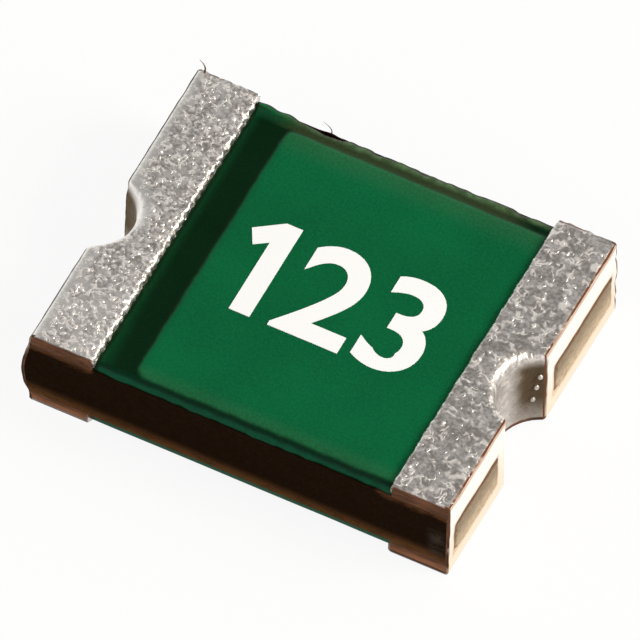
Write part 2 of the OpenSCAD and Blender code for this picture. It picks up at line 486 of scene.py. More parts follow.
def smooth_rims_and_sheen(place):
    """Mask of the smooth tin along the left outer edge and on the back rim of the left half hole, painted
    white there as a painted highlight.
    """
    x, _, z = place
    past_rim, across = past_hole(place)
    rim = ramp(past_rim, 0.15, 0.06, 0.0, by_end(x, 0.8, 0.0)) * ramp(across, -0.1, 0.1)
    outer = ramp(x, 0.12 - HALF_L, 0.05 - HALF_L, 0.0, 0.65)
    return largest(outer, rim * ramp(z, CHIP_H - 0.3, CHIP_H - 0.1))


def painted_hole_shading(position, place):
    """Mask of the painted shade, in brown, on the back walls of the half holes, weaker towards the bottom."""
    x, y, z = place
    blotch = (noise(position, 7.0) - 0.5) * 0.07
    hole_shade = use_group("soft_rectangle", combined(abs(x), y + blotch), *SHADE_X, *SHADE_Y, 0.02, 0.07)[0]
    hole_shade = hole_shade * ramp(past_hole(place)[0], 0.03, 0.01)
    return hole_shade * ramp(z, CHIP_H, CHIP_H - 0.16) * ramp(z, 0.0, 0.3, 0.5, 1.0)


def worn_lines(position, place, facing):
    """Masks of the warm tint beside the outer top edges, and of the copper along the tin's edges; the line
    along the outer top edge also lies over the rounded edge as painted shade.
    """
    x, y, z = place
    size = sizes()
    width = size["worn_w"]
    along, across = abs(x), abs(y)
    drop = by_end(x, 0.55 * size["left_edge_r"] + size["left_roll"], 0.28 * size["right_edge_r"])
    reach = by_end(x, 6.5 * width, 1.25 * width)
    wobble = (noise(position, 14.0) - 0.5) * width
    off_top = abs(CHIP_H - z + wobble - drop)
    at_edge = ramp(along + by_end(x, 0.032, 0.026), HALF_L, HALF_L + 0.010)
    top = ramp(off_top, reach, reach * 0.7) * at_edge
    halo = ramp(off_top, 9.0 * width, 0.0) * at_edge
    corner = ramp(across, HALF_W - 0.016, HALF_W - 0.009) * ramp(along, HALF_L - 0.06, HALF_L - 0.04)
    off_hole = abs(abs(y + size["hole_offset"]) - half_chord(size))
    hole = ramp(off_hole, 1.3 * width, 0.5 * width) * ramp(along, HALF_L - 0.03, HALF_L - 0.015)
    sawn = ramp(abs(facing[1]), 0.6, 0.9, 0.0, 0.7) * ramp(across, HALF_W - 0.04, HALF_W - 0.02)
    foot = ramp(z, 0.055, 0.04) * ramp(past_hole(place)[0], 0.02, 0.01)
    specks = ramp(y, HALF_W - 0.020, HALF_W - 0.010) * ramp(noise(position, 9.0), 0.47, 0.55)
    specks = specks * ramp(z, CHIP_H - 0.2, CHIP_H - 0.1, 0.0, 0.8)
    lines = largest(top, hole, foot, corner, specks) * ramp(noise(position, 6.0), 0.3, 0.5, 0.6, 1.0)
    return halo, largest(lines, sawn)


def window_edge_shade(place):
    """Mask of the painted shade on the tin that borders the end windows, 0.6 at their edge."""
    size = sizes()
    on_end = combined(place[1], place[2])
    borders = [use_group("soft_rectangle", on_end, y - half_y, y + half_y, z - half_z, z + half_z,
                         size["window_r"], 0.03)[0] for y, z, half_y, half_z in end_windows(size)]
    return largest(*borders) * 1.2


def copper_material():
    """Sawn copper: dull brown, with streaks along the cut, a little paler towards the top, painted paler
    along the bottom strip as painted light, and painted dark at the very bottom as painted shade.
    """
    material, shader, position = new_material("sawn_copper")
    x, _, z = axes(position)
    streak, grain = use_group("saw_streaks", position, 28.0, 5.0)
    tone = streak * 0.35 + grain * 0.35 + ramp(z, FOIL_HIGH[2], CHIP_H, 0.0, 0.1)
    # Painted light: the lower copper strip is painted paler, most at the left end
    tone = tone + ramp(z, CORE_LOW[2], 0.0, 0.0, by_end(x, 1.1, 0.7))
    base = mix_colour(ramp(tone, 0.15, 1.0), "copper_dull", "copper")
    set_inputs(shader, {
        "Base Color": mix_colour(ramp(z, 0.035, 0.02), base, "edge_dark"), "Metallic": 0.3,
        "Specular IOR Level": 0.1, "Roughness": ramp(grain, 0.2, 0.8, 0.5, 0.8),
        "Normal": bump(streak * 0.003, 0.7)})
    return material


def core_material():
    """Carbon-filled polymer: near black on the long sides, with dragged copper, and tan at the ends."""
    material, shader, position = new_material("carbon_core")
    place = axes(position)
    x, _, z = place
    streak, grain = use_group("saw_streaks", position, 22.0, 3.0)
    speckle = grain * 0.6 + streak * 0.4
    # The core is painted paler and browner towards the bottom
    haze = ramp(z, CORE_LOW[2] + 0.12, CORE_LOW[2]) * ramp(speckle, 0.1, 0.6, 0.4, 1.0)
    side = mix_colour(haze, "core", "core_haze_and_shade")
    smear = use_group("soft_rectangle", combined(x, z), *SMEAR_X, *SMEAR_Z, 0.05, 0.05)[0]
    side = mix_colour(smear * ramp(speckle, 0.2, 0.7), side, "core_smear")
    dragged = ramp(CORE_HIGH[2] - z - speckle * 0.08, 0.02, -0.03)
    under_pad = ramp(x, 0.01 - TIN_EDGE[-1], -0.03 - TIN_EDGE[-1])
    under_pad = under_pad + ramp(x, TIN_EDGE[1] - 0.13, TIN_EDGE[1] - 0.07)
    side = mix_colour(dragged * under_pad, side, "copper_dull")
    set_inputs(shader, {
        "Base Color": mix_colour(window_mask(place), side, window_colour(position, place)),
        "Specular IOR Level": 0.02, "Roughness": ramp(grain, 0.2, 0.8, 0.65, 0.95),
        "Normal": bump(noise(position, 26.0, 4.0, 0.65) * 0.012, 0.5)})
    return material


def window_mask(place):
    """1 on the ends of the core, inside its long edges."""
    at_end = ramp(abs(place[0]), CORE_HIGH[0] - 0.075, CORE_HIGH[0] - 0.065)
    return at_end * ramp(abs(place[1]), HALF_W - 0.02, HALF_W - 0.03)


def window_colour(position, place):
    """Tan of the core in an end window: paler towards the sill, with painted shade under the roof and along
    the front edge.
    """
    _, y, z = place
    size = sizes()
    sill, roof = size["window_bottom"], CHIP_H - size["window_top"]
    crumbs = noise(position, 26.0, detail=4.0, roughness=0.65)
    ragged = ramp(crumbs, 0.3, 0.7, -0.01, 0.01)
    height = z + ragged
    base = mix_colour(ramp(height, roof - 0.1, sill), "core_end", "core_end_pale")
    base = mix_colour(ramp(crumbs, 0.6, 0.35, 0.0, 0.3), base, "core_haze_and_shade")
    hole_side = half_chord(size) + size["window_hole"] - size["hole_offset"]
    front_edge = ramp(y, -0.2, -0.1, size["window_side"] - HALF_W, hole_side)
    roof_shade = ramp(height, roof - 0.085, roof - 0.06, 0.0, 0.75)
    front_shade = ramp(y - front_edge + ragged, 0.075, 0.05, 0.0, 0.6)
    return mix_colour(largest(roof_shade, front_shade), base, "core_haze_and_shade")


def mask_material(name, x_min, x_max):
    """Green solder mask: bright over the foil, nearly black over the bare core, olive at the back edge, with
    a painted highlight on the rounded back edge and painted shade by the left pad and on the steep back
    slope.
    """
    material, shader, position = new_material(name)
    grain = noise(position, 55.0, detail=3.0)
    shifted = vector_node("ADD", position, (noise(position, 9.0) - 0.5) * 0.02)
    x, y, _ = axes(shifted)
    from_left = x + TIN_EDGE[-1]
    to_pad = math_node("MINIMUM", from_left, TIN_EDGE[1] - x)
    by_side = largest(ramp(y, FIELD_FRONT + 0.14, FIELD_FRONT, 0.0, 0.6),
                      ramp(y, FIELD_BACK - 0.24, FIELD_BACK, 0.0, 0.75))
    over_foil = mix_colour(by_side, "mask", "mask_pale")
    by_pad = ramp(to_pad, ramp(y, -1.2, -0.4, 0.15, 0.1), 0.0)
    at_back = ramp(y, FIELD_BACK - 0.01, FIELD_BACK + 0.02) * ramp(to_pad, 0.1, 0.35)
    blotches = ramp(noise(position, 15.0, detail=3.0), 0.35, 0.6, 0.4, 1.0)
    left_corner_highlight = ramp(x, 0.4 - TIN_EDGE[-1], 0.1 - TIN_EDGE[-1], 0.0, 0.8)
    steep_back_shade = ramp(abs(facing_axes(position)[2]), 0.92, 0.84)
    beside = mix_colour(by_pad, "mask_gap", "mask_rim")
    for cover, tone in (
            (ramp(y, FIELD_FRONT + 0.01, FIELD_FRONT - 0.02), "mask_front"),
            (ramp(y, 0.038 - HALF_W, 0.018 - HALF_W), "mask_front_edge"),
            (at_back, "mask_back"),
            # Painted highlight on the rounded back edge, and lighter at the back left corner
            (ramp(y, HALF_W - 0.10, HALF_W - 0.05) * blotches, "mask_back_highlight"),
            (ramp(y, HALF_W - 0.16, HALF_W - 0.06) * left_corner_highlight, "mask"),
            # Painted shade at the foot of the left pad's lip
            (ramp(from_left, 0.035, 0.015), "mask_gap"),
            # Painted shade: the steep back slope takes the core's near-black colour as a dark outline
            (steep_back_shade * ramp(y, HALF_W - 0.1, HALF_W - 0.08), "core")):
        beside = mix_colour(cover, beside, tone)
    on_foil = use_group("soft_rectangle", shifted, x_min, x_max, FIELD_FRONT, FIELD_BACK, 0.12, 0.016)[0]
    base = mix_colour(on_foil, beside, over_foil)
    clouds = ramp(noise(position, 1.6, detail=3.0), 0.3, 0.7, -0.07, 0.07)
    set_inputs(shader, {
        "Base Color": scaled(base, ramp(grain, 0.25, 0.75, 0.84, 1.12) + clouds),
        "Specular IOR Level": 0.08, "Roughness": ramp(grain, 0.2, 0.8, 0.3, 0.45),
        "Normal": bump(grain * 0.0016, 0.5)})
    return material


def ink_material():
    """White printed ink, a little uneven."""
    material, shader, position = new_material("white_ink")
    grain = noise(position, 60.0)
    set_inputs(shader, {
        "Base Color": mix_colour(ramp(grain, 0.2, 0.8, 0.0, 0.12), "ink", "ink_thin"),
        "Specular IOR Level": 0.3, "Roughness": ramp(grain, 0.2, 0.8, 0.45, 0.6)})
    return material


MADE_MATERIALS = {}


def piece_material(name):
    """A material of the part, made the first time that a piece asks for it."""
    makers = {
        "frosted_tin": lambda: tin_material("frosted_tin", True),
        "bead_tin": lambda: tin_material("bead_tin", False),
        "sawn_copper": copper_material,
        "carbon_core": core_material,
        "white_ink": ink_material,
        "upper_mask": lambda: mask_material("upper_mask", FIELD_START, HALF_L),
        "lower_mask": lambda: mask_material("lower_mask", -HALF_L, TIN_EDGE[1] - TIN_EDGE[-1] - FIELD_START),
    }
    if name not in MADE_MATERIALS:
        MADE_MATERIALS[name] = makers[name]()
    return MADE_MATERIALS[name]


# Meshes


def new_piece(name, points, faces, material, replaced=()):
    """A finished piece of the part from points in millimetres, riding on the part's body."""
    mesh = bpy.data.meshes.new(name)
    mesh.from_pydata(np.asarray(points).tolist(), [], faces)
    shape = bmesh.new()
    shape.from_mesh(mesh)
    bmesh.ops.recalc_face_normals(shape, faces=shape.faces)
    shape.to_mesh(mesh)
    shape.free()
    finish_piece(name, mesh, material, replaced)


def finish_piece(name, mesh, material, replaced=()):
    """Brings a mesh in millimetres to metres, gives it its material and makes it a piece of the part."""
    mesh.transform(Matrix.Scale(MM, 4))
    mesh.shade_smooth()
    mesh.set_sharp_from_angle(angle=math.radians(SHARP_ANGLE))
    mesh.materials.clear()
    mesh.materials.append(piece_material(material))
    piece = bpy.data.objects.new(name, mesh)
    bpy.context.scene.collection.objects.link(piece)
    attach(piece, BODY)
    if replaced:
        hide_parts(*replaced)


def freed_mesh(shape, name):
    """Mesh that takes over what a bmesh holds."""
    mesh = bpy.data.meshes.new(name)
    shape.to_mesh(mesh)
    shape.free()
    return mesh


def ripples(points, wavelength, seed, waves=14):
    """Slow random waves through space, from about -1 to 1."""
    draw = np.random.default_rng(seed)
    total = np.zeros(points.shape[:-1])
    for _ in range(waves):
        way = draw.normal(size=3)
        way *= draw.uniform(0.6, 1.5) * 2.0 * math.pi / (wavelength * np.linalg.norm(way))
        total += np.sin(points @ way + draw.uniform(0.0, 2.0 * math.pi))
    return total * math.sqrt(2.0 / waves) / 2.0


def round_box(u, v, half_u, half_v, radius):
    """Distance to a rectangle with round corners, below 0 inside it."""
    du = np.abs(u) - half_u + radius
    dv = np.abs(v) - half_v + radius
    outside = np.hypot(np.maximum(du, 0.0), np.maximum(dv, 0.0))
    return outside + np.minimum(np.maximum(du, dv), 0.0) - radius


def smooth_max(a, b, reach):
    """The larger of two distances, with the corner between them rounded off."""
    near = np.maximum(reach - np.abs(a - b), 0.0) / reach
    return np.maximum(a, b) + near * near * reach / 4.0


def swelling(end, y, z, size):
    """How far the saw pushed an end outwards at a place across and up it."""
    if end > 0:
        return np.zeros_like(y)
    return size["swell"] * np.exp(-((z - SWELL_Z) / 0.2) ** 2) * smooth_step(-y, 1.0, HALF_W)


def terminal_distance(end, size):
    """Distance function of a terminal's finished surface, with X pointing out of the chip."""
    inner, outer = TIN_EDGE[end], HALF_L
    middle = (inner + outer) / 2.0
    top_r = size[f"{END_NAMES[end]}_edge_r"]
    outer_roll = size[f"{END_NAMES[end]}_roll"]
    lip_lumps = size[f"{END_NAMES[end]}_lip_lumps"]
    edge_band = 0.09

    def distance(points):
        x, y, z = np.moveaxis(points, -1, 0)
        outer_r = np.where(z > CHIP_H / 2.0, top_r, size["edge_r"])
        pushed = x - swelling(end, y, z, size) * (x > middle)
        block = round_box(pushed - middle, z - CHIP_H / 2.0, (outer - inner) / 2.0, CHIP_H / 2.0,
                          np.where(x > middle, outer_r, size["lip_r"]))
        hole = size["hole_r"] - np.hypot(x - size["hole_x"], y + size["hole_offset"])
        on_rim = smooth_step(z, CHIP_H - 0.25, CHIP_H - 0.08) * smooth_step(HALF_L - x, 0.02, 0.14)
        on_rim = on_rim * (0.3 + 0.7 * smooth_step(y + size["hole_offset"], -0.25, 0.0))
        reach = size["edge_r"] + (size["rim_r"] - size["edge_r"]) * on_rim
        near_back = np.clip((y - HALF_W + edge_band) / edge_band, 0.0, 1.0)
        near_end = np.clip((x - HALF_L + 1.5 * edge_band) / (1.5 * edge_band), 0.0, 1.0)
        near_front = np.clip((edge_band - HALF_W - y) / edge_band, 0.0, 1.0) * (end < 0)
        near_top = smooth_step(z, CHIP_H - 0.2, CHIP_H - 0.1)
        foot = size["foot_roll"] * near_front ** 2 * (1.0 - smooth_step(z, 0.1, 0.2))
        roll = np.maximum(size["back_roll"] * near_back ** 2, outer_roll * near_end ** 2)
        near_lip = 1.0 - smooth_step(x, inner + 0.05, inner + 0.12)
        lumps = 0.3 + 0.5 * ripples(points, 0.22, 11 + end) + 0.25 * ripples(points, 0.09, 21 + end)
        lumps = lumps * np.clip(z / 0.2, 0.0, 1.0) * size["tin_lumps"] * (1.0 + 2.0 * near_back)
        lip = near_lip * near_top * lip_lumps * ripples(points, 0.05, 71 + end)
        return smooth_max(block, hole, reach) + lumps + lip + roll * near_top + foot

    return distance


def gradient(distance, points, reach):
    """Unit direction in which a distance grows fastest."""
    slope = np.empty_like(points)
    for axis in range(3):
        step = np.zeros(3)
        step[axis] = reach
        slope[:, axis] = distance(points + step) - distance(points - step)
    return slope / np.linalg.norm(slope, axis=1, keepdims=True)


def surface_net(distance, low, high, step):
    """Points and four-sided faces on the zero level of a distance function, open where the box cuts it."""
    counts = [round((b - a) / step) + 1 for a, b in zip(low, high)]
    axes = [np.linspace(a, b, count) for a, b, count in zip(low, high, counts)]
    grid = np.stack(np.meshgrid(*axes, indexing="ij"), -1)
    value = distance(grid)
    inside = value < 0.0

    def corner(array, offset):
        return array[tuple(slice(o, n - 1 + o) for o, n in zip(offset, counts))]

    total = sum(corner(inside, o).astype(int) for o in itertools.product((0, 1), repeat=3))
    active = (total > 0) & (total < 8)
    index = np.full(active.shape, -1)
    index[active] = np.arange(active.sum())
    crossing = np.zeros((active.sum(), 3))
    hits = np.zeros(active.sum())
    for axis in range(3):
        for offset in itertools.product((0, 1), repeat=3):
            if offset[axis]:
                continue
            other = tuple(o + (k == axis) for k, o in enumerate(offset))
            v0, v1 = corner(value, offset)[active], corner(value, other)[active]
            cut = (v0 < 0.0) != (v1 < 0.0)
            share = np.where(cut, v0 / np.where(cut, v0 - v1, 1.0), 0.0)[:, None]
            p0, p1 = corner(grid, offset)[active], corner(grid, other)[active]
            crossing += np.where(cut[:, None], p0 + share * (p1 - p0), 0.0)
            hits += cut
    points = crossing / hits[:, None]
    faces = []
    for axis in range(3):
        b, c = (axis + 1) % 3, (axis + 2) % 3
        ahead = [slice(None)] * 3
        behind = [slice(None)] * 3
        behind[axis] = slice(0, -1)
        ahead[axis] = slice(1, None)
        change = inside[tuple(behind)].astype(int) - inside[tuple(ahead)].astype(int)
        places = np.argwhere(change != 0)
        places = places[(places[:, b] > 0) & (places[:, c] > 0)
                        & (places[:, b] < counts[b] - 1) & (places[:, c] < counts[c] - 1)]
        ring = []
        for step_b, step_c in ((-1, -1), (0, -1), (0, 0), (-1, 0)):
            cell = places.copy()
            cell[:, b] += step_b
            cell[:, c] += step_c
            ring.append(index[tuple(cell.T)])
        quads = np.stack(ring, 1)
        turned = change[tuple(places.T)] < 0
        quads[turned] = quads[turned][:, ::-1]
        faces.append(quads)
    return points, np.concatenate(faces)


def border_edges(faces):
    """Directed edges that only one face uses."""
    edges = np.concatenate([np.stack([faces[:, k], faces[:, (k + 1) % 4]], 1) for k in range(4)])
    known = {tuple(edge) for edge in edges.tolist()}
    return [edge for edge in known if edge[::-1] not in known]


def thick_sheet(outer, inner, faces):
    """Closed solid between a sheet and its inner side, with a wall along the sheet's borders."""
    count = len(outer)
    rims = [(b, a, a + count, b + count) for a, b in border_edges(faces)]
    inner_faces = (faces[:, ::-1] + count).tolist()
    return np.concatenate([outer, inner]), faces.tolist() + inner_faces + rims


def half_chord(size):
    """Half the width of a half hole's mouth in the end face."""
    return math.sqrt(size["hole_r"] ** 2 - (size["saw_kerf"] / 2.0) ** 2)


def end_windows(size):
    """Middle and half size of each window in an end face, in the chip's Y and Z."""
    hole_y = -size["hole_offset"]
    low, high = size["window_bottom"], CHIP_H - size["window_top"]
    outer = HALF_W - size["window_side"]
    reach = half_chord(size) + size["window_hole"]
    spans = ((-outer, hole_y - reach), (hole_y + reach, outer))
    return [((y0 + y1) / 2.0, (low + high) / 2.0, (y1 - y0) / 2.0, (high - low) / 2.0) for y0, y1 in spans]


def window_distance(points, size):
    """Distance across an end face to the nearest window's outline, below 0 inside a window."""
    return np.minimum.reduce([
        round_box(points[:, 1] - y, points[:, 2] - z, half_y, half_z, size["window_r"])
        for y, z, half_y, half_z in end_windows(size)])


def window_way(points, size):
    """Direction across an end face that leads out of the nearest window."""
    slope = [window_distance(points + step, size) - window_distance(points - step, size)
             for step in (np.array([0.0, TOUCH, 0.0]), np.array([0.0, 0.0, TOUCH]))]
    slope = np.stack(slope, 1)
    return slope / np.maximum(np.linalg.norm(slope, axis=1, keepdims=True), TOUCH / 10.0)


def terminal_sheet(end, size):
    """Outer sheet of a terminal: points, their directions and faces, with X pointing out of the chip."""
    step = size["net_step"]
    probe = step / 20.0
    distance = terminal_distance(end, size)
    margin = 2.0 * step + size["swell"]
    low = (TIN_EDGE[end] - margin, -HALF_W, -margin)
    high = (HALF_L + margin, HALF_W, CHIP_H + margin)
    points, faces = surface_net(distance, low, high, step)
    for _ in range(2):
        points -= distance(points)[:, None] * gradient(distance, points, probe)
    sawn = np.abs(points[:, 1]) > HALF_W - 0.75 * step
    wander = 0.5 * ripples(points, 0.08, 81 + end) * size["ragged"] * (points[:, 1] > 0.0)
    points[sawn, 1] = (np.sign(points[:, 1]) * (HALF_W - wander))[sawn]
    lip = COAT_HIGH[2] - size["mask_dip"] - step
    centre = points[faces].mean(1)
    bare = (centre[:, 0] < COPPER_EDGE[end]) & (centre[:, 2] < lip) & (centre[:, 2] > CHIP_H - lip)
    windows = (centre[:, 0] > HALF_L - step) & (window_distance(centre, size) < 0.0)
    faces = faces[~(bare | windows)]
    used, faces = np.unique(faces, return_inverse=True)
    points, faces = points[used], faces.reshape(-1, 4)
    border = np.unique(border_edges(faces))
    at_window = border[(points[border, 0] > HALF_L - step) & (np.abs(points[border, 1]) < HALF_W - step)]
    for _ in range(2):
        off = window_distance(points[at_window], size)
        points[at_window, 1:] -= off[:, None] * window_way(points[at_window], size)
    return points, gradient(distance, points, probe), faces, at_window


def copper_inner(points, end, size):
    """Where the copper behind each point of its surface meets the foil, the core or the drilled hole."""
    inner = points.copy()
    hole, drill_r = np.array([size["hole_x"], -size["hole_offset"]]), size["drill_r"]
    away = inner[:, :2] - hole
    reach = np.linalg.norm(away, axis=1, keepdims=True)
    inner[:, :2] = np.where(reach < drill_r, hole + away * drill_r / reach, inner[:, :2])
    inner[:, 0] = np.minimum(inner[:, 0], CORE_HIGH[0] + swelling(end, inner[:, 1], inner[:, 2], size))
    inner[:, 2] = np.clip(inner[:, 2], CORE_LOW[2] - FOIL_T, CORE_HIGH[2] + FOIL_T)
    return inner


def ring_faces(rows, count):
    """Faces between rings of points, each as long as count, and across the first and the last ring."""
    faces = []
    for row, k in itertools.product(range(rows - 1), range(count)):
        here, ahead = row * count, (row + 1) * count
        after = (k + 1) % count
        faces.append((here + k, here + after, ahead + after, ahead + k))
    last = (rows - 1) * count
    return faces + [tuple(range(count))[::-1], tuple(range(last, last + count))]


def profile_sweep(profile, stations):
    """Points and faces of a closed outline that is repeated at stations along the chip."""
    points = [(x, *place) for x in stations for place in profile]
    return np.array(points), ring_faces(len(stations), len(profile))


def smooth_step(value, low, high):
    """Runs smoothly from 0 to 1 as a value goes from low to high."""
    share = np.clip((value - low) / (high - low), 0.0, 1.0)
    return share * share * (3.0 - 2.0 * share)


def mask_points(size, edge_waves, inset, roundness):
    """Points and faces of a mask, rounded off at the long edges and sunk where no foil lies below it."""
    spacing = 0.02
    low_t = COAT_T - size["mask_dip"]
    shoulder = HALF_W - low_t
    turns = np.linspace(0.0, math.pi / 2.0, 9)
    front = [(-shoulder - low_t * max(math.cos(t), 0.0) ** roundness, low_t * math.sin(t) ** roundness)
             for t in turns]
    across = np.linspace(-shoulder, shoulder, round(2.0 * shoulder / spacing))[1:-1]
    upper = front + [(y, low_t) for y in across] + [(-y, z) for y, z in front[::-1]]
    lower = [(y, 0.0) for y in across[::-1]]
    rows = round((COPPER_EDGE[-1] + COPPER_EDGE[1]) / spacing)
    stations = np.linspace(-COPPER_EDGE[-1], COPPER_EDGE[1], rows)
    points, faces = profile_sweep(upper + lower, stations)
    x, y, z = points.T.copy()
    soft = size["mask_soft"] / 2.0
    over_foil = smooth_step(x, FIELD_START - soft, FIELD_START + soft)
    over_foil = over_foil * smooth_step(np.minimum(y - FIELD_FRONT, FIELD_BACK - y), -soft, soft)
    top = z > 0.0
    at_back = smooth_step(y, shoulder - 0.08, shoulder) * (edge_waves > 0.0)
    climb = smooth_step(x + TIN_EDGE[-1], -0.012, 0.006) - smooth_step(x + TIN_EDGE[-1], 0.02, 0.45)
    climb = size["mask_climb"] * at_back * climb
    rise = over_foil * size["mask_dip"] + ripples(points, 0.55, 31) * 0.003 + climb
    points[:, 2] = np.where(top, z * (1.0 + rise / low_t), z)
    under = (x > FIELD_START) & (y > FIELD_FRONT) & (y < FIELD_BACK)
    points[:, 2] = np.where(~top & under, FOIL_T, points[:, 2])
    near_edge = smooth_step(np.abs(y), shoulder - 0.1, HALF_W)
    run = np.stack([x, y, 0.0 * x], 1)
    waves = (ripples(run, 0.5, 41) * 0.6 + ripples(run, 0.13, 42) * 0.4) * np.where(y > 0.0, 1.0, 0.4)
    torn = smooth_step(x, TORN_X[0], TORN_X[0] + 0.2) - smooth_step(x, TORN_X[1] - 0.3, TORN_X[1])
    draw_back = inset * np.maximum(1.0 + edge_waves * waves, 0.0) + size["mask_torn"] * torn * at_back
    points[:, 1] -= np.sign(y) * near_edge * draw_back
    return points, faces


def core_points(size):
    """Points and faces of the core: a notched outline carried up through its thickness.

    The saw left waves in the long sides, and the ends come up in the windows, away from roof and front."""
    spacing = 0.025
    hole_x, drill_r = size["hole_x"], size["drill_r"]
    half_turn = math.acos((hole_x - CORE_HIGH[0]) / drill_r)
    arc = [(hole_x - drill_r * math.cos(t), drill_r * math.sin(t) - size["hole_offset"])
           for t in np.linspace(-half_turn, half_turn, 17)]

    def run(start, stop):
        count = round(abs(stop - start) / spacing) + 1
        return np.linspace(start, stop, count)[1:-1]

    end_x = CORE_HIGH[0]
    right = [(end_x, -HALF_W)] + [(end_x, y) for y in run(-HALF_W, arc[0][1])] + arc
    right += [(end_x, y) for y in run(arc[-1][1], HALF_W)] + [(end_x, HALF_W)]
    front = [(x, -HALF_W) for x in run(-end_x, end_x)]
    back = [(x, HALF_W) for x in run(end_x, -end_x)]
    outline = front + right + back + [(-x, y) for x, y in right[::-1]]
    levels = np.linspace(CORE_LOW[2], CORE_HIGH[2], round((CORE_HIGH[2] - CORE_LOW[2]) / spacing))
    points, faces = profile_sweep(outline, levels)
    points = points[:, [1, 2, 0]]
    on_side = np.abs(points[:, 1]) > HALF_W - TOUCH
    middle = np.sin(math.pi * (points[:, 2] - CORE_LOW[2]) / (CORE_HIGH[2] - CORE_LOW[2]))
    depth = (ripples(points, 0.3, 51) * 0.5 - 0.5) * middle * size["saw_waves"]
    points[:, 1] += np.where(on_side, np.sign(points[:, 1]) * depth, 0.0)
    in_window = (np.abs(points[:, 0]) > end_x - TOUCH) & (window_distance(points, size) < spacing)
    front_edges = [y - half_y for y, _, half_y, _ in end_windows(size)]
    front_edge = np.where(points[:, 1] < -size["hole_offset"], *front_edges)
    inset = np.minimum(CHIP_H - size["window_top"] - points[:, 2], points[:, 1] - front_edge)
    filled = (HALF_L - 0.003 - end_x) * smooth_step(inset, 0.0, size["window_slope"])
    filled += size["window_rough"] * ripples(points, 0.07, 53) * (filled > 0.0)
    points[:, 0] += np.where(in_window, np.sign(points[:, 0]) * filled, 0.0)
    pushed = swelling(-1, points[:, 1], points[:, 2], size)
    points[:, 0] -= pushed * smooth_step(-points[:, 0], end_x - 0.1, end_x)
    return points, faces


# Pieces


class FUSE_OT_terminals(bpy.types.Operator):
    """Builds the tin and the copper of both terminals from one rounded outer sheet"""

    bl_idname = "fuse.terminals"
    bl_label = "Terminals"

    def execute(self, context):
        size = sizes()
        for end, name in END_NAMES.items():
            outer, way, faces, at_window = terminal_sheet(end, size)
            copper = outer - TIN_T * way
            tin_inner = copper.copy()
            tin_inner[at_window, 0] -= HALF_L - TIN_T - CORE_HIGH[0] + WINDOW_TUCK
            copper[at_window, 1:] += TIN_T * window_way(outer[at_window], size)
            inner = copper_inner(copper, end, size)
            turn = np.array([end, 1.0, 1.0])
            points, shell = thick_sheet(outer * turn, tin_inner * turn, faces)
            new_piece(f"{name}_tin", points, shell, "frosted_tin", [f"{name}_terminal_tin"])
            add_grains(end, name, outer * turn, faces[:, ::end], size)
            points, shell = thick_sheet(copper * turn, inner * turn, faces)
            new_piece(f"{name}_copper", points, shell, "sawn_copper", [f"{name}_terminal_copper"])
        return {"FINISHED"}


class FUSE_OT_core(bpy.types.Operator):
    """Builds the sawn polymer core"""

    bl_idname = "fuse.core"
    bl_label = "Polymer core"

    def execute(self, context):
        points, faces = core_points(sizes())
        new_piece("carbon_core", points, faces, "carbon_core", ["ptc_core"])
        return {"FINISHED"}


class FUSE_OT_foils(bpy.types.Operator):
    """Finishes the electrode and pad foils, which keep their own shapes"""

    bl_idname = "fuse.foils"
    bl_label = "Foils"

    def execute(self, context):
        for name in ("top_electrode_foil", "bottom_electrode_foil", "left_pad_foil", "right_pad_foil"):
            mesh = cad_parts[name].data
            mesh.materials.clear()
            mesh.materials.append(piece_material("sawn_copper"))
        return {"FINISHED"}


class FUSE_OT_masks(bpy.types.Operator):
    """Builds the solder mask above and below the core"""

    bl_idname = "fuse.masks"
    bl_label = "Solder masks"

    def execute(self, context):
        size = sizes()
        upper, faces = mask_points(size, 2.2, size["mask_inset"], 1.0)
        lower = mask_points(size, 0.0, 0.0, 0.5)[0] * np.array([-1.0, 1.0, -1.0])
        lower[:, 0] += COPPER_EDGE[1] - COPPER_EDGE[-1]
        upper[:, 2] += CORE_HIGH[2]
        lower[:, 2] += CORE_LOW[2]
        new_piece("upper_mask", upper, faces, "upper_mask", ["top_solder_mask"])
        new_piece("lower_mask", lower, faces, "lower_mask", ["bottom_solder_mask"])
        return {"FINISHED"}


